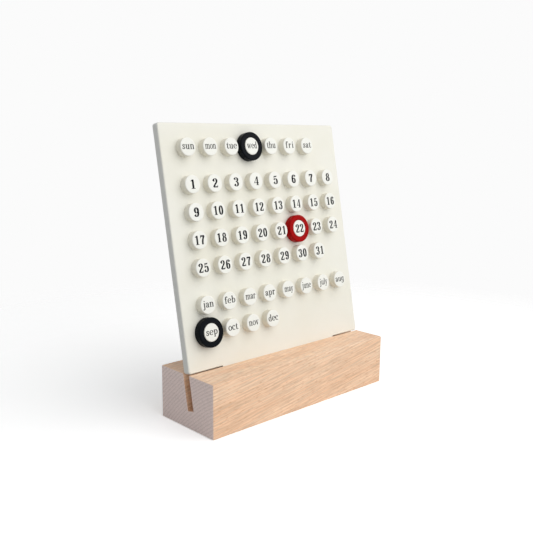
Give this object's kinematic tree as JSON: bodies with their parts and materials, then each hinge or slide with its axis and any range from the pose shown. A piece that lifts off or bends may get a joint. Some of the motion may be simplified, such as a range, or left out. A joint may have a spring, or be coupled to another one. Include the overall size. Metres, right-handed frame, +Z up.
{
  "type": "perpetual desk calendar",
  "caption": "Upright white plate of lettered studs for weekday, date and month, leaning in a slotted wooden block, with loose rings that slip over studs to mark today.",
  "frame": {"origin": "centre of the wooden block's underside", "axes": "+X to the reader's right along the block, -Y towards the reader, +Z up"},
  "size_m": [0.152, 0.0559, 0.1789],
  "materials": {
    "beech": "sanded and oiled beech, pale pinkish tan with fine darker flecks, growth lines on the ends",
    "plate_plastic": "satin warm white moulded plastic",
    "stud_plastic": "satin white plastic with a printed legend in near black",
    "ring_black": "semi-gloss black rubber",
    "ring_red": "semi-gloss red rubber"
  },
  "bodies": {
    "block": {"base_block": "beech"},
    "plate": {"calendar_plate": "plate_plastic", "stud_sun": "stud_plastic", "stud_mon": "stud_plastic", "stud_tue": "stud_plastic", "stud_wed": "stud_plastic", "stud_thu": "stud_plastic", "stud_fri": "stud_plastic", "stud_sat": "stud_plastic", "stud_01": "stud_plastic", "stud_02": "stud_plastic", "stud_03": "stud_plastic", "stud_04": "stud_plastic", "stud_05": "stud_plastic", "stud_06": "stud_plastic", "stud_07": "stud_plastic", "stud_08": "stud_plastic", "stud_09": "stud_plastic", "stud_10": "stud_plastic", "stud_11": "stud_plastic", "stud_12": "stud_plastic", "stud_13": "stud_plastic", "stud_14": "stud_plastic", "stud_15": "stud_plastic", "stud_16": "stud_plastic", "stud_17": "stud_plastic", "stud_18": "stud_plastic", "stud_19": "stud_plastic", "stud_20": "stud_plastic", "stud_21": "stud_plastic", "stud_22": "stud_plastic", "stud_23": "stud_plastic", "stud_24": "stud_plastic", "stud_25": "stud_plastic", "stud_26": "stud_plastic", "stud_27": "stud_plastic", "stud_28": "stud_plastic", "stud_29": "stud_plastic", "stud_30": "stud_plastic", "stud_31": "stud_plastic", "stud_jan": "stud_plastic", "stud_feb": "stud_plastic", "stud_mar": "stud_plastic", "stud_apr": "stud_plastic", "stud_may": "stud_plastic", "stud_jun": "stud_plastic", "stud_jul": "stud_plastic", "stud_aug": "stud_plastic", "stud_sep": "stud_plastic", "stud_oct": "stud_plastic", "stud_nov": "stud_plastic", "stud_dec": "stud_plastic"},
    "day_ring_body": {"day_ring": "ring_black"},
    "date_ring_body": {"date_ring": "ring_red"},
    "month_ring_body": {"month_ring": "ring_black"}
  },
  "joints": [
    {"name": "plate_lift", "type": "slide", "parent": "block", "child": "plate", "axis": [0, 0.1908, 0.9816], "range_m": [0, 0.03]},
    {"name": "day_ring_pull", "type": "slide", "parent": "plate", "child": "day_ring_body", "axis": [0, -0.9816, 0.1908], "range_m": [0, 0.012]},
    {"name": "date_ring_pull", "type": "slide", "parent": "plate", "child": "date_ring_body", "axis": [0, -0.9816, 0.1908], "range_m": [0, 0.012]},
    {"name": "month_ring_pull", "type": "slide", "parent": "plate", "child": "month_ring_body", "axis": [0, -0.9816, 0.1908], "range_m": [0, 0.012]}
  ]
}
